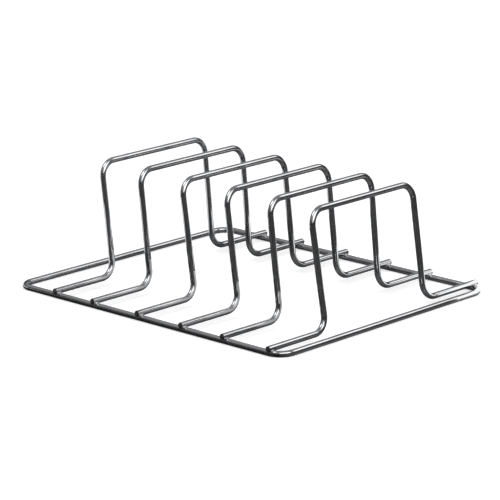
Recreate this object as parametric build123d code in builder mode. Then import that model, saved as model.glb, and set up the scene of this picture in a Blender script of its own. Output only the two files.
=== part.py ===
from build123d import *

import os

# A rack that stands sterilisation pouches on edge, bent and welded from bright round wire.
# A flat rectangular frame lies on the ground, and six wire hoops stand in a row across it.
# Each hoop is one wire: a foot, an upright, a top bar, an upright and a foot.
# The feet lie across the frame's two long rails and are welded to them.
# X runs along the row from the back rail to the front rail, Y across it and Z up.
# The origin is the middle of the frame, at the height of the ground.
# Sizes are in millimetres, and a size between two wires is taken between their centre lines.

# Wire
wire_diameter = 4.0
bend_radius = 10.0
set_down = 1.0  # how far a foot is pressed into the rail as it is welded

# Frame
rail_spacing = 191.0  # from one long rail to the other
back_margin = 35.5  # from the back rail to the first hoop
front_margin = 8.5  # from the last hoop to the front rail

# Hoops
hoop_pitch = 36.2  # from one hoop to the next, if they stood evenly
hoop_shifts = (0.0, -2.7, 0.1, 0.9, -0.8, 0.0)  # how far each hoop stands off that, towards the front
hoop_leans = (6.7, 6.2, 8.2, 7.8, 6.7, 9.5)  # degrees from upright, towards the back rail
hoop_width_below = 92.5  # between the uprights, where they meet the feet
hoop_width_above = 94.5  # between the uprights, where they meet the top bar
hoop_rise = 73.3  # from the feet to the top bar, along the leaning uprights
foot_overhang = 0.5  # from the outside of the rail to the cut end of the foot
end_chamfer = 0.4  # round the rim of a foot's cut end

# Weld beads
bead_lip = 0.7  # how far a bead spreads past the side of the wires

# Heights and places that follow from the sizes above
wire_radius = wire_diameter / 2
rail_height = wire_radius
foot_height = rail_height + wire_diameter - set_down
bead_level = (rail_height + foot_height) / 2
bead_radius = wire_radius + bead_lip
rail_length = back_margin + (len(hoop_shifts) - 1) * hoop_pitch + front_margin
foot_reach = rail_spacing / 2 + wire_radius + foot_overhang
first_hoop = back_margin - rail_length / 2
hoop_places = [first_hoop + count * hoop_pitch + shift for count, shift in enumerate(hoop_shifts)]
rail_signs = {"left": -1, "right": 1}


def save(part, name):
    """Labels a finished piece and writes it to its own file."""
    part.label = name
    export_step(part, f"parts/{name}.step")


def section_plane(path):
    """The plane square across the start of a wire's centre line."""
    return Plane(origin=path @ 0, z_dir=path % 0)


def make_base_frame():
    """The closed loop of wire that lies on the ground, with its two ends butt welded."""
    half_length = rail_length / 2
    half_width = rail_spacing / 2
    with BuildPart() as base_frame:
        with BuildLine(Plane.XY.offset(rail_height)) as loop:
            FilletPolyline(
                (-half_length, -half_width),
                (half_length, -half_width),
                (half_length, half_width),
                (-half_length, half_width),
                radius=bend_radius,
                close=True,
            )
        with BuildSketch(section_plane(loop.wire())):
            Circle(wire_radius)
        sweep(path=loop.wire())
    return base_frame.part


def make_hoop(place, lean, base_frame):
    """One bent wire, leaning back about the line of its feet, which are hollowed to seat on the rails."""
    hoop_plane = Plane(
        origin=(place, 0, foot_height),
        x_dir=(0, 1, 0),
        z_dir=Vector(1, 0, 0).rotate(Axis.Y, -lean),
    )
    half_below = hoop_width_below / 2
    half_above = hoop_width_above / 2
    with BuildPart() as hoop:
        with BuildLine(hoop_plane) as outline:
            FilletPolyline(
                (-foot_reach, 0),
                (-half_below, 0),
                (-half_above, hoop_rise),
                (half_above, hoop_rise),
                (half_below, 0),
                (foot_reach, 0),
                radius=bend_radius,
            )
        with BuildSketch(section_plane(outline.wire())):
            Circle(wire_radius)
        sweep(path=outline.wire())
        faces_across = hoop.faces().sort_by(Axis.Y)  # the two cut ends come first and last
        chamfer(faces_across[0].edges() + faces_across[-1].edges(), end_chamfer)
        add(base_frame, mode=Mode.SUBTRACT)
    return hoop.part


def rail_reach_at(place):
    """How far a long rail lies from the middle, at a place along the row: less where a corner has begun."""
    into_corner = max(0, abs(place) + bend_radius - rail_length / 2)
    return rail_spacing / 2 - bend_radius + (bend_radius**2 - into_corner**2) ** 0.5


def make_weld_bead(place, side, base_frame, hoop):
    """The ring of metal squeezed out between a foot and the rail it crosses."""
    with BuildPart() as weld_bead:
        with Locations((place, side, bead_level)):
            Sphere(bead_radius)
        add(base_frame, mode=Mode.SUBTRACT)
        add(hoop, mode=Mode.SUBTRACT)
    return weld_bead.part


os.makedirs("parts", exist_ok=True)

base_frame = make_base_frame()
save(base_frame, "base_frame")

for number, (place, lean) in enumerate(zip(hoop_places, hoop_leans), start=1):
    hoop = make_hoop(place, lean, base_frame)
    save(hoop, f"hoop_{number}")
    for side_name, sign in rail_signs.items():
        weld_bead = make_weld_bead(place, sign * rail_reach_at(place), base_frame, hoop)
        save(weld_bead, f"weld_{side_name}_{number}")
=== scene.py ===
import logging
import math
from dataclasses import dataclass, replace
from enum import Enum
from typing import ClassVar

import bpy
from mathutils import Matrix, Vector


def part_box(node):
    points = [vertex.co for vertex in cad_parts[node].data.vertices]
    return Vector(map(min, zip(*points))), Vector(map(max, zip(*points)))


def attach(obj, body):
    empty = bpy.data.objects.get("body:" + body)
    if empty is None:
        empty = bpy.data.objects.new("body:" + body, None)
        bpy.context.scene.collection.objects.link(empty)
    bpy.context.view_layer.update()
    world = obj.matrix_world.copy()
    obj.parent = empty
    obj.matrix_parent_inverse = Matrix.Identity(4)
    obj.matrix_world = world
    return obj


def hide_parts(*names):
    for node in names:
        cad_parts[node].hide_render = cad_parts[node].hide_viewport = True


# A rack of bright round wire that stands sterilisation pouches on edge.
# X runs along the row of hoops, Y across it and Z up, and every length is in metres.

LOG = logging.getLogger("pouch_rack")
MILLIMETRE = 0.001
ROOT_BODY = "root"
SOCKET_TYPES = {float: "NodeSocketFloat", int: "NodeSocketInt"}

Colour = tuple[float, float, float, float]
Socket = bpy.types.NodeSocket

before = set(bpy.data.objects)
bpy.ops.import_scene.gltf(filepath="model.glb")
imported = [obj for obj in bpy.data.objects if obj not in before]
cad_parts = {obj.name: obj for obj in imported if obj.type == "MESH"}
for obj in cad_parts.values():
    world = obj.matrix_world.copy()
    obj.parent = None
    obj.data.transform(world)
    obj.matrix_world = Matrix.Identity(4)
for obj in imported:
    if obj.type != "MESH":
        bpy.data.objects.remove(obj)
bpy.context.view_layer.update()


class Side(Enum):
    """The two long rails, by the sign of their Y."""

    LEFT = -1
    RIGHT = 1


class Slot(Enum):
    """The material slots of the record that a piece can take its finish from."""

    BRIGHT_WIRE = "bright_wire"
    WELD_METAL = "weld_metal"


class Mark(Enum):
    """The attributes that a wire carries while it is bent, of which its finish reads some."""

    CORNER = "corner"  # 1 where the path turns a corner and 0 elsewhere
    SHARE = "section_share"  # of the wire's full radius, which falls off at a cut end
    ALONG = "along"  # the distance along the wire
    SECTION_PLACE = "section_place"  # the place in the round section
    WIRE_SPACE = "wire_space"  # the place in the section, and the distance along the wire
    BEND = "bend"  # 1 where the wire was bent and 0 where it runs straight


class TreeSketch:
    """Adds nodes to a node tree and joins them as it goes."""

    def __init__(self, tree: bpy.types.NodeTree) -> None:
        """Starts on an emptied tree.

        Args:
            tree: the shader, world or geometry tree to fill.
        """
        self.tree = tree
        tree.nodes.clear()

    def add(self, kind: str, inputs: dict | None = None, **settings: object) -> bpy.types.Node:
        """Adds one node.

        Args:
            kind: the node's type, as Blender names it.
            inputs: for each input, by name or number, a socket to join to it or a plain value.
            settings: the node's own properties.

        Returns:
            The new node.
        """
        node = self.tree.nodes.new(kind)
        for name, value in settings.items():
            setattr(node, name, value)
        for key, value in (inputs or {}).items():
            if isinstance(value, bpy.types.NodeSocket):
                self.tree.links.new(value, node.inputs[key])
            else:
                node.inputs[key].default_value = value
        return node

    def get(self, kind: str, inputs: dict | None = None, output: int | str = 0, **settings: object) -> Socket:
        """Adds one node, as add does, and takes the named or numbered output."""
        return self.add(kind, inputs, **settings).outputs[output]

    def maths(self, operation: str, *values: Socket | float) -> Socket:
        """Works out one number.

        Args:
            operation: what the Math node does.
            values: its inputs in order.

        Returns:
            The socket that holds the result.
        """
        return self.get("ShaderNodeMath", dict(enumerate(values)), operation=operation)


class ShaderSketch(TreeSketch):
    """Draws the patterns that finishes are made of."""

    def __init__(self, tree: bpy.types.NodeTree) -> None:
        """Starts on an emptied tree.

        Args:
            tree: the shader or world tree to fill.
        """
        super().__init__(tree)
        self.space = self.add("ShaderNodeTexCoord").outputs

    def read(self, mark: Mark, output: str) -> Socket:
        """Reads an attribute of the wire.

        Args:
            mark: the attribute.
            output: which output of the Attribute node holds it.

        Returns:
            The socket that holds it.
        """
        return self.get("ShaderNodeAttribute", output=output, attribute_name=mark.value)

    def noise(self, size: float, place: Socket | None = None, **inputs: float) -> Socket:
        """Draws a random pattern.

        Args:
            size: of its patches.
            place: the coordinates that it is drawn on, which are the solid's own unless others are given.
            inputs: other inputs of the Noise Texture node, such as its Detail.

        Returns:
            The socket that holds the pattern, from 0 to 1.
        """
        inputs |= {"Vector": place or self.space["Object"], "Scale": 1 / size}
        return self.get("ShaderNodeTexNoise", inputs)

    def rise(self, value: Socket, start: float, end: float) -> Socket:
        """Turns a number into a share that climbs smoothly from 0 to 1.

        Args:
            value: the number.
            start: what it is where the share leaves 0.
            end: what it is where the share comes to 1.

        Returns:
            The socket that holds the share.
        """
        inputs = {"Value": value, "From Min": start, "From Max": end}
        return self.get("ShaderNodeMapRange", inputs, interpolation_type="SMOOTHSTEP")

    def pile(self, start: Socket | float, *layers: tuple[Socket, float]) -> Socket:
        """Adds patterns up.

        Args:
            start: what is there before them.
            layers: each pattern, and how much of it is added.

        Returns:
            The socket that holds the sum.
        """
        total = start
        for pattern, amount in layers:
            total = self.maths("MULTIPLY_ADD", pattern, amount, total)
        return total

    def blend(self, share: Socket, first: Colour | Socket, second: Colour | Socket) -> Socket:
        """Blends two colours.

        Args:
            share: how much of the second shows.
            first: the colour where none of it does.
            second: the colour where all of it does.

        Returns:
            The socket that holds the colour.
        """
        inputs = {"Factor": share, "A": first, "B": second}
        return self.get("ShaderNodeMix", inputs, 2, data_type="RGBA")

    def bump(self, height: Socket, depth: float, strength: float = 1.0, **inputs: Socket) -> Socket:
        """Raises the surface by a pattern.

        Args:
            height: the pattern.
            depth: how far 1 in the pattern raises the surface.
            strength: how much of that shows.
            inputs: other inputs of the Bump node, such as the Normal of the bumps beneath.

        Returns:
            The socket that holds the normal.
        """
        inputs |= {"Height": height, "Distance": depth, "Strength": strength}
        return self.get("ShaderNodeBump", inputs, "Normal")

    def metal(self, colour: Socket, roughness: Socket, normal: Socket) -> Socket:
        """Shades bare metal.

        Args:
            colour: its colour.
            roughness: its roughness.
            normal: its normal, with the bumps.

        Returns:
            The socket of the shader.
        """
        inputs = {"Base Color": colour, "Metallic": 1.0, "Roughness": roughness, "Normal": normal}
        return self.get("ShaderNodeBsdfPrincipled", inputs, "BSDF")


@dataclass(frozen=True)
class Finish:
    """What every finish has: a name, and a shader drawn on the shape's own coordinates."""

    name: str

    def make(self) -> bpy.types.Material:
        """Builds the finish.

        Returns:
            The material.
        """
        material = bpy.data.materials.new(self.name)
        material.use_nodes = True
        sketch = ShaderSketch(material.node_tree)
        sketch.add("ShaderNodeOutputMaterial", {"Surface": self.draw(sketch)})
        return material

    def draw(self, sketch: ShaderSketch) -> Socket:
        """Draws the finish.

        Args:
            sketch: the tree to draw in.

        Returns:
            The socket of the shader.
        """
        raise NotImplementedError


@dataclass(frozen=True)
class DrawnWire(Finish):
    """Bright drawn wire, polished after welding: lines along its length, faint water marks, rubbed bends."""

    name: str = "bright_drawn_wire"
    clean: Colour = (0.52, 0.525, 0.535, 1.0)
    dull: Colour = (0.34, 0.345, 0.355, 1.0)
    polish: float = 0.045  # the shader's roughness where the wire is cleanest
    dull_roughness: float = 0.09  # what full dullness adds to that
    line_roughness: float = 0.03
    pit_roughness: float = 0.1
    line_pitch: float = 0.12 * MILLIMETRE  # round the wire, from one drawn line to the next
    line_length: float = 25 * MILLIMETRE
    line_depth: float = 0.0012 * MILLIMETRE
    score_pitch: float = 0.48 * MILLIMETRE  # of the deeper lines among them
    score_length: float = 75 * MILLIMETRE
    score_depth: float = 2.0  # in depths of a fine line
    score_edge: tuple[float, float] = (0.55, 0.75)  # where in its pattern a score starts and is full
    score_dulling: float = 0.3
    patch_size: float = 30 * MILLIMETRE
    patch_edge: tuple[float, float] = (0.4, 0.7)
    patch_dulling: float = 0.5
    bend_dulling: float = 0.25
    mark_spacing: float = 2.5 * MILLIMETRE  # of the water marks, which are rings
    mark_ring: tuple[float, float, float] = (0.16, 0.22, 0.3)  # where a ring starts, is full and ends
    mark_group: float = 6.25 * MILLIMETRE  # of the places that dried with marks
    mark_edge: tuple[float, float] = (0.55, 0.68)
    mark_dulling: float = 0.35
    pit_size: float = 0.35 * MILLIMETRE
    pit_edge: tuple[float, float] = (0.68, 0.78)
    pit_depth: float = 1.5  # in depths of a fine line
    wave_length: float = 9 * MILLIMETRE  # of the unevenness that polishing leaves, which breaks up highlights
    wave_depth: float = 0.12 * MILLIMETRE

    def draw(self, sketch: ShaderSketch) -> Socket:
        """Draws the finish.

        Args:
            sketch: the tree to draw in.

        Returns:
            The socket of the shader.
        """
        place = sketch.read(Mark.WIRE_SPACE, "Vector")
        bend = sketch.read(Mark.BEND, "Fac")
        lines = self._lines(sketch, place, self.line_pitch, self.line_length)
        scores = self._lines(sketch, place, self.score_pitch, self.score_length)
        patches = sketch.noise(self.patch_size, Detail=3.0)
        pits = sketch.rise(sketch.noise(self.pit_size), *self.pit_edge)
        waves = sketch.noise(self.wave_length, Detail=1.0)
        dulling = sketch.pile(
            0.0,
            (bend, self.bend_dulling),
            (sketch.rise(patches, *self.patch_edge), self.patch_dulling),
            (self._water_marks(sketch), self.mark_dulling),
            (sketch.rise(scores, *self.score_edge), self.score_dulling),
        )
        colour = sketch.blend(dulling, self.clean, self.dull)
        layers = (dulling, self.dull_roughness), (lines, self.line_roughness), (pits, self.pit_roughness)
        roughness = sketch.pile(self.polish, *layers)
        height = sketch.pile(lines, (scores, self.score_depth), (pits, -self.pit_depth))
        normal = sketch.bump(height, self.line_depth, Normal=sketch.bump(waves, self.wave_depth))
        return sketch.metal(colour, roughness, normal)

    def _lines(self, sketch: ShaderSketch, place: Socket, pitch: float, length: float) -> Socket:
        """Draws the fine lines that a die leaves along a wire.

        Args:
            sketch: the tree to draw in.
            place: the place in the section and along the wire.
            pitch: the distance between lines round the wire.
            length: how far a line runs before it fades.

        Returns:
            The socket that holds the lines' height, from 0 to 1.
        """
        inputs = {"Vector": place, "Scale": (1 / pitch, 1 / pitch, 1 / length)}
        stretched = sketch.get("ShaderNodeMapping", inputs)
        return sketch.noise(1.0, stretched, Roughness=0.6)

    def _water_marks(self, sketch: ShaderSketch) -> Socket:
        """Draws the rings that drops leave where they dry.

        Args:
            sketch: the tree to draw in.

        Returns:
            The socket that holds the marks, from 0 to 1.
        """
        inputs = {"Vector": sketch.space["Object"], "Scale": 1 / self.mark_spacing}
        away = sketch.get("ShaderNodeTexVoronoi", inputs, "Distance")
        start, full, end = self.mark_ring
        ring = sketch.maths("SUBTRACT", sketch.rise(away, start, full), sketch.rise(away, full, end))
        dried = sketch.rise(sketch.noise(self.mark_group, Detail=1.0), *self.mark_edge)
        return sketch.maths("MULTIPLY", ring, dried)


@dataclass(frozen=True)
class ShearedEnd(Finish):
    """The face that the cutter leaves on the end of a wire: a smeared half and a broken, grainy half."""

    name: str = "sheared_wire_end"
    smeared: Colour = (0.26, 0.262, 0.268, 1.0)
    broken: Colour = (0.11, 0.111, 0.114, 1.0)
    roughness: float = 0.42  # the shader's, where the end is smoothest
    grain_roughness: float = 0.25
    broken_roughness: float = 0.2
    grain: float = 0.25 * MILLIMETRE
    grain_depth: float = 0.04 * MILLIMETRE
    relief: float = 0.8
    break_level: float = 0.3 * MILLIMETRE  # of the edge between the halves, above the wire's centre line

    def draw(self, sketch: ShaderSketch) -> Socket:
        """Draws the finish.

        Args:
            sketch: the tree to draw in.

        Returns:
            The socket of the shader.
        """
        place = sketch.read(Mark.WIRE_SPACE, "Vector")
        level = sketch.get("ShaderNodeSeparateXYZ", {0: place}, "Y")
        grain = sketch.noise(self.grain, Detail=4.0, Roughness=0.65)
        wandering = sketch.pile(level, (grain, 2 * self.break_level))
        broken = sketch.rise(wandering, self.break_level, 2 * self.break_level)
        colour = sketch.blend(broken, self.smeared, self.broken)
        layers = (grain, self.grain_roughness), (broken, self.broken_roughness)
        roughness = sketch.pile(self.roughness, *layers)
        normal = sketch.bump(sketch.maths("MULTIPLY", grain, broken), self.grain_depth, self.relief)
        return sketch.metal(colour, roughness, normal)


@dataclass(frozen=True)
class WeldMetal(Finish):
    """The rougher metal squeezed out of a weld, a little darkened by its heat and polished over."""

    name: str = "weld_metal"
    bright: Colour = (0.76, 0.755, 0.745, 1.0)
    scorched: Colour = (0.46, 0.44, 0.405, 1.0)
    scorch_edge: tuple[float, float] = (0.5, 0.85)  # where in its pattern a scorch starts and is full
    scorch_grain: float = 0.25  # how much the grain frays it
    roughness: float = 0.28  # the shader's, where the bead is smoothest
    grain_roughness: float = 0.2
    scorch_roughness: float = 0.25
    ripple: float = 0.8 * MILLIMETRE
    ripple_height: float = 3.0  # in heights of the grain
    grain: float = 0.18 * MILLIMETRE
    grain_depth: float = 0.03 * MILLIMETRE
    relief: float = 0.7

    def draw(self, sketch: ShaderSketch) -> Socket:
        """Draws the finish.

        Args:
            sketch: the tree to draw in.

        Returns:
            The socket of the shader.
        """
        ripple = sketch.noise(self.ripple, Detail=3.0, Distortion=0.6)
        grain = sketch.noise(self.grain, Detail=3.0)
        scorch = sketch.rise(sketch.pile(ripple, (grain, self.scorch_grain)), *self.scorch_edge)
        colour = sketch.blend(scorch, self.bright, self.scorched)
        layers = (grain, self.grain_roughness), (scorch, self.scorch_roughness)
        roughness = sketch.pile(self.roughness, *layers)
        normal = sketch.bump(sketch.pile(grain, (ripple, self.ripple_height)), self.grain_depth, self.relief)
        return sketch.metal(colour, roughness, normal)


@dataclass(frozen=True)
class PaleFloor(Finish):
    """A matt pale floor with a faint unevenness, which the camera and the bright wire see as white."""

    name: str = "pale_floor"
    light: Colour = (0.90, 0.90, 0.90, 1.0)
    shade: Colour = (0.885, 0.886, 0.888, 1.0)
    patch_size: float = 0.4
    roughness: float = 0.8
    lift: float = 0.45  # what brings the lit floor up to white

    def draw(self, sketch: ShaderSketch) -> Socket:
        """Draws the finish.

        Args:
            sketch: the tree to draw in.

        Returns:
            The socket of the shader.
        """
        colour = sketch.blend(sketch.noise(self.patch_size), self.light, self.shade)
        inputs = {"Base Color": colour, "Roughness": self.roughness, "Specular IOR Level": 0.0}
        matt = sketch.get("ShaderNodeBsdfPrincipled", inputs, "BSDF")
        rays = sketch.add("ShaderNodeLightPath").outputs
        seen = sketch.maths("MAXIMUM", rays["Is Camera Ray"], rays["Is Glossy Ray"])
        seen = sketch.maths("MAXIMUM", seen, rays["Is Transmission Ray"])
        strength = sketch.maths("MULTIPLY", seen, self.lift)
        glow = sketch.get("ShaderNodeEmission", {"Strength": strength})
        return sketch.get("ShaderNodeAddShader", {0: matt, 1: glow})


@dataclass(frozen=True)
class DarkCard(Finish):
    """Dark card or board, a little scuffed."""

    plain: Colour
    scuffed: Colour
    roughness: float
    scuff_size: float = 0.05

    def draw(self, sketch: ShaderSketch) -> Socket:
        """Draws the finish.

        Args:
            sketch: the tree to draw in.

        Returns:
            The socket of the shader.
        """
        colour = sketch.blend(sketch.noise(self.scuff_size), self.plain, self.scuffed)
        inputs = {"Base Color": colour, "Roughness": self.roughness}
        return sketch.get("ShaderNodeBsdfPrincipled", inputs, "BSDF")


@dataclass(frozen=True)
class GlowingCardFace(Finish):
    """Card face that glows by emission though it is no lamp, a little uneven: painted light."""

    brightness: float  # where 1 is white
    light: Colour = (1.0, 1.0, 1.0, 1.0)
    shade: Colour = (0.9, 0.9, 0.905, 1.0)
    patch_size: float = 0.03

    def draw(self, sketch: ShaderSketch) -> Socket:
        """Draws the finish.

        Args:
            sketch: the tree to draw in.

        Returns:
            The socket of the shader.
        """
        colour = sketch.blend(sketch.noise(self.patch_size), self.light, self.shade)
        return sketch.get("ShaderNodeEmission", {"Color": colour, "Strength": self.brightness})


class GeometryBench:
    """A Geometry Nodes tree with named inputs, which makes the mesh of one piece after another."""

    def __init__(self, name: str, sizes: dict[str, type], finishes: dict[str, Finish]) -> None:
        """Starts the tree.

        Args:
            name: what the tree is called.
            sizes: for each size's name, whether it is a float or an int.
            finishes: for each material input's name, the finish that it gets.
        """
        self.tree = bpy.data.node_groups.new(name, "GeometryNodeTree")
        self.materials = {title: finish.make() for title, finish in finishes.items()}
        kinds = {title: SOCKET_TYPES[kind] for title, kind in sizes.items()}
        kinds |= {title: "NodeSocketMaterial" for title in finishes}
        interface = self.tree.interface
        interface.new_socket("Geometry", in_out="INPUT", socket_type="NodeSocketGeometry")
        self.identifiers = {
            title: interface.new_socket(title, in_out="INPUT", socket_type=kind).identifier
            for title, kind in kinds.items()
        }
        interface.new_socket("Geometry", in_out="OUTPUT", socket_type="NodeSocketGeometry")
        self.sketch = TreeSketch(self.tree)
        self.given = self.sketch.add("NodeGroupInput").outputs

    def attribute(self, mark: Mark, kind: str) -> Socket:
        """Reads an attribute of the shape.

        Args:
            mark: the attribute.
            kind: the type of its values.

        Returns:
            The socket that holds them.
        """
        inputs = {"Name": mark.value}
        return self.sketch.get("GeometryNodeInputNamedAttribute", inputs, "Attribute", data_type=kind)

    def store(self, shape: Socket, mark: Mark, kind: str, value: Socket) -> Socket:
        """Writes an attribute on the points of a shape.

        Args:
            shape: the geometry that gets it.
            mark: the attribute.
            kind: the type of its values.
            value: the socket that holds them.

        Returns:
            The geometry with the attribute.
        """
        inputs = {"Geometry": shape, "Name": mark.value, "Value": value}
        return self.sketch.get("GeometryNodeStoreNamedAttribute", inputs, data_type=kind, domain="POINT")

    def make_real(self, shape: Socket) -> Socket:
        """Turns the instances in a shape into plain geometry."""
        return self.sketch.get("GeometryNodeRealizeInstances", {"Geometry": shape})

    def smooth(self, shape: Socket) -> Socket:
        """Shades a shape smooth."""
        return self.sketch.get("GeometryNodeSetShadeSmooth", {"Geometry": shape}, domain="FACE")

    def dress(self, shape: Socket, title: str, chosen: Socket | bool = True) -> Socket:
        """Gives a shape its finish.

        Args:
            shape: the geometry to dress.
            title: the input that holds the finish.
            chosen: the faces that get it.

        Returns:
            The dressed geometry.
        """
        inputs = {"Geometry": shape, "Selection": chosen, "Material": self.given[title]}
        return self.sketch.get("GeometryNodeSetMaterial", inputs)

    def run(self, piece: bpy.types.Object, sizes: dict[str, float]) -> None:
        """Gives a piece the mesh that the tree makes of it, and leaves no modifier on it.

        Args:
            piece: the object that holds the path or the points.
            sizes: what each named size is for this piece.
        """
        modifier = piece.modifiers.new(self.tree.name, "NODES")
        modifier.node_group = self.tree
        for title, value in {**sizes, **self.materials}.items():
            modifier[self.identifiers[title]] = value
        graph = bpy.context.evaluated_depsgraph_get()
        made = bpy.data.meshes.new_from_object(
            piece.evaluated_get(graph), preserve_all_data_layers=True, depsgraph=graph
        )
        piece.modifiers.clear()
        made.name = piece.name
        piece.data = made


class WireBench(GeometryBench):
    """Bends round wire: it rounds a path's corners, runs the section along it and closes the cut ends."""

    REAL_EDGE: ClassVar[float] = math.radians(35)  # the angle between faces above which an edge stays sharp
    BENT: ClassVar[float] = math.radians(1)  # the turn from one point to the next above which a wire is bent
    SPREAD: ClassVar[int] = 6  # how many points the mark of a bend fades over

    def __init__(self) -> None:
        """Builds the tree."""
        super().__init__(
            "bent_wire",
            {
                "Wire Radius": float,
                "Bend Radius": float,
                "Bend Steps": int,
                "Run Step": float,
                "Facets Round": int,
                "End Share": float,
            },
            {"Wire Finish": DrawnWire(), "End Finish": ShearedEnd()},
        )
        path = self._mark(self._divide(self._bend()))
        tube = self.make_real(self._sharpen(self.smooth(self._sweep(path))))
        share = self.attribute(Mark.SHARE, "FLOAT")
        end_face = self.sketch.maths("LESS_THAN", share, self.given["End Share"])
        dressed = self.dress(self.dress(tube, "Wire Finish"), "End Finish", end_face)
        self.sketch.add("NodeGroupOutput", {"Geometry": dressed})

    def _bend(self) -> Socket:
        """Rounds the path's corners, and leaves the points near a cut end alone.

        Returns:
            The rounded path.
        """
        curve = self.sketch.get("GeometryNodeMeshToCurve", {"Mesh": self.given["Geometry"]})
        corner = self.attribute(Mark.CORNER, "FLOAT")
        radius = self.sketch.maths("MULTIPLY", corner, self.given["Bend Radius"])
        inputs = {"Curve": curve, "Count": self.given["Bend Steps"], "Radius": radius}
        return self.sketch.get("GeometryNodeFilletCurve", inputs, mode="POLY")

    def _change(self, value: Socket) -> Socket:
        """Measures how far a vector moves from each point of a path to the next.

        Args:
            value: the vector at each point.

        Returns:
            The socket that holds the distance.
        """
        index = self.sketch.get("GeometryNodeInputIndex")
        count = self.sketch.get("GeometryNodeSplineLength", output="Point Count")
        following = self.sketch.maths("MODULO", self.sketch.maths("ADD", index, 1.0), count)
        inputs = {"Index": following, "Value": value}
        there = self.sketch.get("GeometryNodeFieldAtIndex", inputs, data_type="FLOAT_VECTOR", domain="POINT")
        inputs = {0: value, 1: there}
        return self.sketch.get("ShaderNodeVectorMath", inputs, "Value", operation="DISTANCE")

    def _divide(self, path: Socket) -> Socket:
        """Divides the straight runs into short steps, so that marks on the bends end where the bends do.

        Args:
            path: the rounded path.

        Returns:
            The path with more points.
        """
        length = self._change(self.sketch.get("GeometryNodeInputPosition"))
        cuts = self.sketch.maths("FLOOR", self.sketch.maths("DIVIDE", length, self.given["Run Step"]))
        return self.sketch.get("GeometryNodeSubdivideCurve", {"Curve": path, "Cuts": cuts})

    def _mark(self, path: Socket) -> Socket:
        """Stores the distance along the wire and where it is bent, and sets its thickness.

        Args:
            path: the divided path.

        Returns:
            The path with its marks.
        """
        along = self.sketch.get("GeometryNodeSplineParameter", output="Length")
        path = self.store(path, Mark.ALONG, "FLOAT", along)
        turn = self._change(self.sketch.get("GeometryNodeInputTangent"))
        inputs = {"Value": self.sketch.maths("GREATER_THAN", turn, self.BENT), "Iterations": self.SPREAD}
        spread = self.sketch.get("GeometryNodeBlurAttribute", inputs, data_type="FLOAT")
        path = self.store(path, Mark.BEND, "FLOAT", spread)
        inputs = {"Curve": path, "Radius": self.attribute(Mark.SHARE, "FLOAT")}
        return self.sketch.get("GeometryNodeSetCurveRadius", inputs)

    def _sweep(self, path: Socket) -> Socket:
        """Runs the round section along the path, closes its ends and stores each point's place in wire space.

        Args:
            path: the marked path.

        Returns:
            The wire's surface.
        """
        inputs = {"Resolution": self.given["Facets Round"], "Radius": self.given["Wire Radius"]}
        section = self.sketch.get("GeometryNodeCurvePrimitiveCircle", inputs, "Curve", mode="RADIUS")
        here = self.sketch.get("GeometryNodeInputPosition")
        section = self.store(section, Mark.SECTION_PLACE, "FLOAT_VECTOR", here)
        inputs = {"Curve": path, "Profile Curve": section, "Fill Caps": True}
        tube = self.sketch.get("GeometryNodeCurveToMesh", inputs)
        inputs = {0: self.attribute(Mark.SECTION_PLACE, "FLOAT_VECTOR")}
        place = self.sketch.add("ShaderNodeSeparateXYZ", inputs).outputs
        inputs = {0: place["X"], 1: place["Y"], 2: self.attribute(Mark.ALONG, "FLOAT")}
        wire_space = self.sketch.get("ShaderNodeCombineXYZ", inputs)
        tube = self.store(tube, Mark.WIRE_SPACE, "FLOAT_VECTOR", wire_space)
        for spent in (Mark.ALONG, Mark.SECTION_PLACE, Mark.CORNER):
            inputs = {"Geometry": tube, "Name": spent.value}
            tube = self.sketch.get("GeometryNodeRemoveAttribute", inputs)
        return tube

    def _sharpen(self, tube: Socket) -> Socket:
        """Keeps the real edges of a smooth shape sharp.

        Args:
            tube: the shape.

        Returns:
            The shape with its edges.
        """
        angle = self.sketch.get("GeometryNodeInputMeshEdgeAngle", output="Unsigned Angle")
        sharp = self.sketch.maths("GREATER_THAN", angle, self.REAL_EDGE)
        inputs = {"Geometry": tube, "Selection": sharp, "Shade Smooth": False}
        return self.sketch.get("GeometryNodeSetShadeSmooth", inputs, domain="EDGE")


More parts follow.
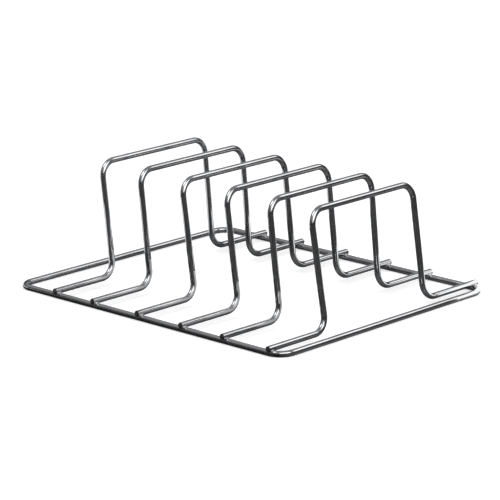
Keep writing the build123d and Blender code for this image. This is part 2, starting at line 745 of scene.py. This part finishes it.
class BeadBench(GeometryBench):
    """Sets a bead of weld metal on each point: a ball, turned and sized at random, with an uneven surface."""

    def __init__(self) -> None:
        """Builds the tree."""
        super().__init__(
            "weld_beads",
            {
                "Bead Radius": float,
                "Ball Divisions": int,
                "Smallest Size": float,
                "Unevenness": float,
                "Lump Size": float,
                "Seed": int,
            },
            {"Weld Finish": WeldMetal()},
        )
        balls = self.make_real(self._set_balls())
        uneven = self.sketch.get("GeometryNodeSetPosition", {"Geometry": balls, "Offset": self._sink()})
        self.sketch.add("NodeGroupOutput", {"Geometry": self.dress(self.smooth(uneven), "Weld Finish")})

    def _set_balls(self) -> Socket:
        """Sets a ball on each point.

        Returns:
            The balls, as instances.
        """
        inputs = {"Radius": self.given["Bead Radius"], "Subdivisions": self.given["Ball Divisions"]}
        ball = self.sketch.get("GeometryNodeMeshIcoSphere", inputs, "Mesh")
        inputs = {"Max": (math.tau, math.tau, math.tau), "Seed": self.given["Seed"]}
        turn = self.sketch.get("FunctionNodeRandomValue", inputs, data_type="FLOAT_VECTOR")
        inputs = {2: self.given["Smallest Size"], 3: 1.0, "Seed": self.given["Seed"]}
        size = self.sketch.get("FunctionNodeRandomValue", inputs, 1, data_type="FLOAT")
        inputs = {"Points": self.given["Geometry"], "Instance": ball, "Rotation": turn, "Scale": size}
        return self.sketch.get("GeometryNodeInstanceOnPoints", inputs)

    def _sink(self) -> Socket:
        """Works out how far each point of a ball sinks in, which makes the surface uneven.

        Returns:
            The socket that holds the offset.
        """
        scale = self.sketch.maths("DIVIDE", 1.0, self.given["Lump Size"])
        inputs = {"Scale": scale, "Detail": 2.0, "Roughness": 0.45}
        lumps = self.sketch.get("ShaderNodeTexNoise", inputs)
        inwards = self.sketch.maths("MULTIPLY", self.given["Unevenness"], -1.0)
        drop = self.sketch.maths("MULTIPLY", lumps, inwards)
        inputs = {0: self.sketch.get("GeometryNodeInputNormal"), "Scale": drop}
        return self.sketch.get("ShaderNodeVectorMath", inputs, operation="SCALE")


def put_in_scene(name: str, data: bpy.types.ID) -> bpy.types.Object:
    """Makes an object and links it to the scene.

    Args:
        name: what it is called.
        data: its mesh, camera or lamp.

    Returns:
        The object.
    """
    thing = bpy.data.objects.new(name, data)
    bpy.context.scene.collection.objects.link(thing)
    return thing


def new_piece(name: str, points: list[Vector], edges: list[tuple[int, int]]) -> bpy.types.Object:
    """Makes an object of bare points and edges, for a tree to work on.

    Args:
        name: the piece's name.
        points: its points.
        edges: the pairs of points that are joined.

    Returns:
        The object.
    """
    mesh = bpy.data.meshes.new(name)
    mesh.from_pydata(points, edges, [])
    return put_in_scene(name, mesh)


def mark_points(piece: bpy.types.Object, mark: Mark, values: list[float]) -> None:
    """Stores a number on each point of a piece.

    Args:
        piece: the object.
        mark: the attribute that holds the numbers.
        values: a number for each point, in order.
    """
    piece.data.attributes.new(mark.value, "FLOAT", "POINT").data.foreach_set("value", values)


def hand_over(piece: bpy.types.Object, nodes: list[str]) -> None:
    """Puts a finished piece in the place of the nodes that it stands for.

    Args:
        piece: the finished piece.
        nodes: the nodes that it replaces.
    """
    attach(piece, ROOT_BODY)
    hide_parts(*nodes)
    LOG.info("%s: %d faces, stands for %s", piece.name, len(piece.data.polygons), ", ".join(nodes))


@dataclass(frozen=True)
class PathPoint:
    """A point of the path that a wire is bent along."""

    x: float
    y: float
    z: float
    share: float = 1.0  # of its full radius that the wire has there
    corner: float = 1.0  # 1 where the wire is bent and 0 elsewhere

    def mirrored(self) -> "PathPoint":
        """The same point on the other side of the rack."""
        return replace(self, y=-self.y)


@dataclass(kw_only=True)
class BentWire:
    """What every wire of the rack has: its stock, its bends and how finely it is drawn."""

    wire_radius: float
    bend_radius: float = 10 * MILLIMETRE
    end_rounding: float = 0.4 * MILLIMETRE  # of the rim of a cut end
    end_margin: float = 0.02  # added to a cut end's share of the radius, to tell its face from the rim's
    rim_rings: int = 4
    bend_steps: int = 30
    run_step: float = 4 * MILLIMETRE
    facets_round: int = 48

    @property
    def end_share(self) -> float:
        """The share of the wire's radius that its flat cut end has."""
        return 1 - self.end_rounding / self.wire_radius

    def rim(self) -> list[tuple[float, float]]:
        """The rounded rim of a cut end.

        Returns:
            For each ring from the end inwards, its distance from the end and its share of the wire's radius.
        """
        rings = []
        for count in range(self.rim_rings):
            angle = math.pi / 2 * count / (self.rim_rings - 1)
            setback = self.end_rounding * (1 - math.cos(angle))
            share = self.end_share + (1 - self.end_share) * math.sin(angle)
            rings.append((setback, share))
        return rings

    def bend(self, name: str, path: list[PathPoint], closed: bool, bench: WireBench) -> bpy.types.Object:
        """Bends the wire along a path.

        Args:
            name: the piece's name.
            path: the points of the path, in order.
            closed: whether the last point is joined to the first.
            bench: the tree that bends wire.

        Returns:
            The piece, with its finishes on it.
        """
        joins = len(path) if closed else len(path) - 1
        edges = [(count, (count + 1) % len(path)) for count in range(joins)]
        piece = new_piece(name, [Vector((point.x, point.y, point.z)) for point in path], edges)
        mark_points(piece, Mark.SHARE, [point.share for point in path])
        mark_points(piece, Mark.CORNER, [point.corner for point in path])
        sizes = {
            "Wire Radius": self.wire_radius,
            "Bend Radius": self.bend_radius,
            "Bend Steps": self.bend_steps,
            "Run Step": self.run_step,
            "Facets Round": self.facets_round,
            "End Share": self.end_share + self.end_margin,
        }
        bench.run(piece, sizes)
        return piece


@dataclass(kw_only=True)
class BaseFrame(BentWire):
    """The closed loop of wire that the rack stands on."""

    NODE: ClassVar[str] = "base_frame"
    half_length: float
    half_width: float
    height: float

    @classmethod
    def measured(cls) -> "BaseFrame":
        """Takes the loop's sizes from its node.

        Returns:
            The loop.
        """
        low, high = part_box(cls.NODE)
        radius = (high.z - low.z) / 2
        return cls(
            wire_radius=radius,
            half_length=(high.x - low.x) / 2 - radius,
            half_width=(high.y - low.y) / 2 - radius,
            height=(high.z + low.z) / 2,
        )

    def build(self, bench: WireBench) -> None:
        """Makes the loop.

        Args:
            bench: the tree that bends wire.
        """
        signs = ((-1, -1), (1, -1), (1, 1), (-1, 1))
        path = [PathPoint(x * self.half_length, y * self.half_width, self.height) for x, y in signs]
        piece = self.bend("base_frame_wire", path, True, bench)
        hand_over(piece, [self.NODE])


@dataclass(kw_only=True)
class Hoop(BentWire):
    """One hoop: a foot, an upright, a top bar, an upright and a foot, bent from one wire."""

    number: int
    place: float  # of its feet along the row
    foot_height: float
    foot_reach: float
    top_place: float  # of its top bar along the row
    top_height: float
    half_below: float = 46.25 * MILLIMETRE
    half_above: float = 47.25 * MILLIMETRE

    @classmethod
    def measured(cls, number: int, wire_radius: float) -> "Hoop":
        """Takes a hoop's sizes from its node.

        Args:
            number: which hoop it is, from the back.
            wire_radius: of the stock that the rack is bent from.

        Returns:
            The hoop.
        """
        low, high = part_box(f"hoop_{number}")
        return cls(
            wire_radius=wire_radius,
            number=number,
            place=high.x - wire_radius,
            foot_height=low.z + wire_radius,
            foot_reach=high.y,
            top_place=low.x + wire_radius,
            top_height=high.z - wire_radius,
        )

    def build(self, bench: WireBench) -> None:
        """Makes the hoop.

        Args:
            bench: the tree that bends wire.
        """
        half = [
            PathPoint(self.place, self.foot_reach - setback, self.foot_height, share, 0.0)
            for setback, share in self.rim()
        ]
        half.append(PathPoint(self.place, self.half_below, self.foot_height))
        half.append(PathPoint(self.top_place, self.half_above, self.top_height))
        path = [point.mirrored() for point in half] + half[::-1]
        piece = self.bend(f"hoop_{self.number}_wire", path, False, bench)
        hand_over(piece, [f"hoop_{self.number}"])


@dataclass
class WeldBeads:
    """The beads of metal squeezed out where the feet of the hoops are welded to the rails."""

    base: BaseFrame
    hoops: list[Hoop]
    radius: float = 2.7 * MILLIMETRE
    divisions: int = 5  # of each ball's faces
    smallest: float = 0.93  # the smallest bead's size, in sizes of the largest
    unevenness: float = 0.5 * MILLIMETRE
    lump_size: float = 1.6 * MILLIMETRE
    seed: int = 7

    def build(self, bench: BeadBench) -> None:
        """Makes all the beads, as one piece.

        Args:
            bench: the tree that sets beads.
        """
        places, nodes = [], []
        for hoop in self.hoops:
            level = (self.base.height + hoop.foot_height) / 2
            for side in Side:
                node = f"weld_{side.name.lower()}_{hoop.number}"
                low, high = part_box(node)
                places.append(Vector(((low.x + high.x) / 2, (low.y + high.y) / 2, level)))
                nodes.append(node)
        piece = new_piece("weld_beads", places, [])
        sizes = {
            "Bead Radius": self.radius,
            "Ball Divisions": self.divisions,
            "Smallest Size": self.smallest,
            "Unevenness": self.unevenness,
            "Lump Size": self.lump_size,
            "Seed": self.seed,
        }
        bench.run(piece, sizes)
        hand_over(piece, nodes)


def heading(azimuth: float, elevation: float = 0.0) -> Vector:
    """The direction from the rack to a place round it.

    Args:
        azimuth: degrees round the rack, from +X towards +Y.
        elevation: degrees above the floor.

    Returns:
        The direction, of length 1.
    """
    around, above = math.radians(azimuth), math.radians(elevation)
    return Vector((math.cos(around) * math.cos(above), math.sin(around) * math.cos(above), math.sin(above)))


def grey(level: float) -> Colour:
    """An even grey."""
    return (level, level, level, 1.0)


def stand_in_studio(
    name: str, points: list[Vector], faces: list[tuple[int, ...]], finish: Finish, hidden: bool = True
) -> bpy.types.Object:
    """Puts a shape in the studio that isn't part of the rack.

    Args:
        name: what it is called.
        points: its points.
        faces: its faces, as the numbers of their points.
        finish: its finish.
        hidden: whether only the reflections in the wire see it, and the camera, shadows and soft light don't.

    Returns:
        The object.
    """
    mesh = bpy.data.meshes.new(name)
    mesh.from_pydata(points, [], faces)
    mesh.materials.append(finish.make())
    thing = put_in_scene(name, mesh)
    thing.visible_camera = not hidden
    thing.visible_diffuse = not hidden
    thing.visible_shadow = not hidden
    return thing


@dataclass(frozen=True)
class StudioCamera:
    """The camera, as fitted to the photograph's own view of the rack."""

    azimuth: float = 42.68  # degrees round the rack, from the view along +Y
    elevation: float = 15.28
    distance: float = 1.8523
    focal_pixels: float = 2917.0
    photo_pixels: float = 500.0
    aim_height: float = 2 * MILLIMETRE
    slide_right: float = -0.51 * MILLIMETRE
    slide_up: float = 23.75 * MILLIMETRE
    nearest: float = 0.05
    farthest: float = 50.0

    def build(self) -> None:
        """Makes the camera and makes it the scene's."""
        right = heading(self.azimuth)
        back = heading(self.azimuth - 90, self.elevation)
        up = back.cross(right)
        data = bpy.data.cameras.new("studio_camera")
        data.lens = self.focal_pixels / self.photo_pixels * data.sensor_width
        data.clip_start = self.nearest
        data.clip_end = self.farthest
        camera = put_in_scene("studio_camera", data)
        camera.rotation_euler = back.to_track_quat("Z", "Y").to_euler()
        aim = Vector((0.0, 0.0, self.aim_height))
        camera.location = aim + self.distance * back + self.slide_right * right + self.slide_up * up
        bpy.context.scene.camera = camera


@dataclass(frozen=True)
class Softbox:
    """A flat lamp of soft light, turned towards the rack."""

    name: str
    azimuth: float  # degrees round the rack, from +X towards +Y
    elevation: float  # degrees above the floor
    width: float
    height: float
    brightness: float  # of its face, where 1 is white
    distance: float = 2.0

    def build(self) -> None:
        """Makes the lamp."""
        towards = heading(self.azimuth, self.elevation)
        data = bpy.data.lights.new(self.name, "AREA")
        data.shape = "RECTANGLE"
        data.size = self.width
        data.size_y = self.height
        data.energy = self.brightness * math.pi * self.width * self.height
        lamp = put_in_scene(self.name, data)
        lamp.location = self.distance * towards
        lamp.rotation_euler = towards.to_track_quat("Z", "Y").to_euler()
        lamp.visible_camera = False


@dataclass(frozen=True)
class DarkScreen:
    """A low curved screen of dark card, which only the bright wire shows: it paints shade into the wire's
    reflections and gives the wire its dark side.
    """

    name: str
    finish: DarkCard
    start: float  # degrees round the rack, from +X towards +Y
    end: float
    height: float
    radius: float
    steps: int = 32

    def build(self) -> None:
        """Makes the screen."""
        rise = Vector((0.0, 0.0, self.height))
        points = []
        for count in range(self.steps + 1):
            foot = self.radius * heading(self.start + (self.end - self.start) * count / self.steps)
            points += [foot, foot + rise]
        faces = [(first, first + 1, first + 3, first + 2) for first in range(0, 2 * self.steps, 2)]
        stand_in_studio(self.name, points, faces, self.finish)


@dataclass(frozen=True)
class Board:
    """A glossy board on the floor, which only the bright wire shows: it paints shade into the wire's
    reflections and gives the wire its dark underside.
    """

    name: str
    finish: DarkCard
    x_ends: tuple[float, float]
    y_ends: tuple[float, float]
    level: float = 0.3 * MILLIMETRE

    def build(self) -> None:
        """Makes the board."""
        (back, front), (left, right) = self.x_ends, self.y_ends
        corners = [(back, left), (front, left), (front, right), (back, right)]
        points = [Vector((x, y, self.level)) for x, y in corners]
        stand_in_studio(self.name, points, [(0, 1, 2, 3)], self.finish)


@dataclass(frozen=True)
class GlowCard:
    """A small card near the feet, glowing below and dark above, which only the bright wire shows: it puts
    painted highlights on the feet.
    """

    name: str
    brightness: float  # of its glowing side, where 1 is white
    azimuth: float  # degrees round the rack, from +X towards +Y, of the way that its dark side faces
    reach: float  # from the middle of the rack to its lower edge, that way
    shift: float  # of its middle, sideways
    width: float
    length: float
    tilt: float  # degrees, from the floor, as it leans over towards the feet
    level: float = 0.5 * MILLIMETRE  # of its lower edge
    thickness: float = 1 * MILLIMETRE
    back: DarkCard = DarkCard("card_back", grey(0.05), grey(0.07), 0.9)

    def build(self) -> None:
        """Makes the card."""
        sideways = heading(self.azimuth + 90)
        across = self.width / 2 * sideways
        lean = self.length * heading(self.azimuth + 180, self.tilt)
        foot = self.reach * heading(self.azimuth) + self.shift * sideways + Vector((0.0, 0.0, self.level))
        # lit holds the corners of the glowing side, whose light is painted, not cast by any lamp
        lit = [foot - across, foot + across, foot + across + lean, foot - across + lean]
        dark = [corner + Vector((0.0, 0.0, self.thickness)) for corner in lit]
        faces = [(0, 1, 2, 3), (7, 6, 5, 4), (0, 4, 5, 1), (1, 5, 6, 2), (2, 6, 7, 3), (3, 7, 4, 0)]
        card = stand_in_studio(self.name, lit + dark, faces, self.back)
        card.data.materials.append(GlowingCardFace(f"{self.name}_face", self.brightness).make())
        card.data.polygons[0].material_index = 1


@dataclass(frozen=True)
class Floor:
    """The round pale floor."""

    radius: float = 14.0
    sides: int = 96

    def build(self) -> None:
        """Makes the floor."""
        points = [self.radius * heading(360 * count / self.sides) for count in range(self.sides)]
        stand_in_studio("floor", points, [tuple(range(self.sides))], PaleFloor(), hidden=False)


@dataclass(frozen=True)
class Surroundings:
    """What stands round the floor: a pale wall, a dark gap above it and a ceiling that lightens upwards."""

    wall: Colour = grey(1.0)
    gap: Colour = (0.06, 0.06, 0.062, 1.0)
    ceiling: Colour = (0.42, 0.42, 0.43, 1.0)
    wall_top: float = 0.09  # the sine of the elevation where the wall starts to darken
    gap_start: float = 0.18
    ceiling_start: float = 0.7

    def build(self) -> None:
        """Makes the world."""
        world = bpy.data.worlds.new("studio")
        world.use_nodes = True
        bpy.context.scene.world = world
        sketch = ShaderSketch(world.node_tree)
        height = sketch.get("ShaderNodeSeparateXYZ", {0: sketch.space["Generated"]}, "Z")
        above = sketch.blend(sketch.rise(height, self.gap_start, self.ceiling_start), self.gap, self.ceiling)
        colour = sketch.blend(sketch.rise(height, self.wall_top, self.gap_start), self.wall, above)
        light = sketch.get("ShaderNodeBackground", {"Color": colour})
        sketch.add("ShaderNodeOutputWorld", {"Surface": light})


@dataclass(frozen=True)
class Studio:
    """All that stands round the rack: the floor, screens, boards and cards that only the wire shows and that
    paint shade and highlights into its reflections, lamps and surroundings.
    """

    # the dark colours of the sheets that only the wire shows, which paint shade into its reflections
    GREY_GLOSS: ClassVar[DarkCard] = DarkCard("grey_gloss", grey(0.11), grey(0.15), 0.2)
    BLACK_GLOSS: ClassVar[DarkCard] = DarkCard("black_gloss", grey(0.006), grey(0.012), 0.12)
    GREY_CARD: ClassVar[DarkCard] = DarkCard("grey_card", grey(0.095), grey(0.125), 0.9)

    fittings: tuple[DarkScreen | Board | GlowCard | Softbox, ...] = (
        # a dark sheet that only the wire shows: painted shade in its reflections
        DarkScreen("dark_screen", GREY_CARD, start=-140.0, end=72.0, height=0.115, radius=0.30),
        # glowing cards that only the wire shows: painted highlights on the feet
        GlowCard(
            "right_card", 2.0, azimuth=47.0, reach=0.200, shift=0.012, width=0.096, length=0.055, tilt=20.0
        ),
        GlowCard(
            "left_card", 0.85, azimuth=90.0, reach=-0.031, shift=-0.0125, width=0.175, length=0.024, tilt=60.0
        ),
        # dark boards that only the wire shows: painted shade in its reflections, in place of a dark floor
        Board("black_board", BLACK_GLOSS, x_ends=(-0.122, 0.150), y_ends=(-0.150, -0.090)),
        Board("grey_board", GREY_GLOSS, x_ends=(-0.122, 0.300), y_ends=(-0.090, 0.170)),
        Board("left_board", GREY_GLOSS, x_ends=(-0.122, 0.300), y_ends=(-0.300, -0.150)),
        Softbox("right_softbox", azimuth=62.0, elevation=38.0, width=0.8, height=0.75, brightness=1.7),
        Softbox("top_softbox", azimuth=-130.0, elevation=63.0, width=1.0, height=1.0, brightness=3.0),
        Softbox("front_softbox", azimuth=-14.0, elevation=42.0, width=1.9, height=1.5, brightness=2.2),
    )

    def build(self) -> None:
        """Makes the floor, what stands on and over it, and the surroundings."""
        Floor().build()
        for fitting in self.fittings:
            fitting.build()
            LOG.info("%s: in the studio", fitting.name)
        Surroundings().build()


def main() -> None:
    """Builds the rack and its studio, in order."""
    logging.basicConfig(level=logging.INFO, format="%(name)s: %(message)s")
    bpy.context.scene.view_settings.view_transform = "Standard"
    StudioCamera().build()
    Studio().build()
    wire_bench = WireBench()
    base = BaseFrame.measured()
    base.build(wire_bench)
    hoop_count = sum(name.startswith("hoop_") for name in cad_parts)
    hoops = [Hoop.measured(number, base.wire_radius) for number in range(1, hoop_count + 1)]
    for hoop in hoops:
        hoop.build(wire_bench)
    WeldBeads(base, hoops).build(BeadBench())


if __name__ == "__main__":
    main()
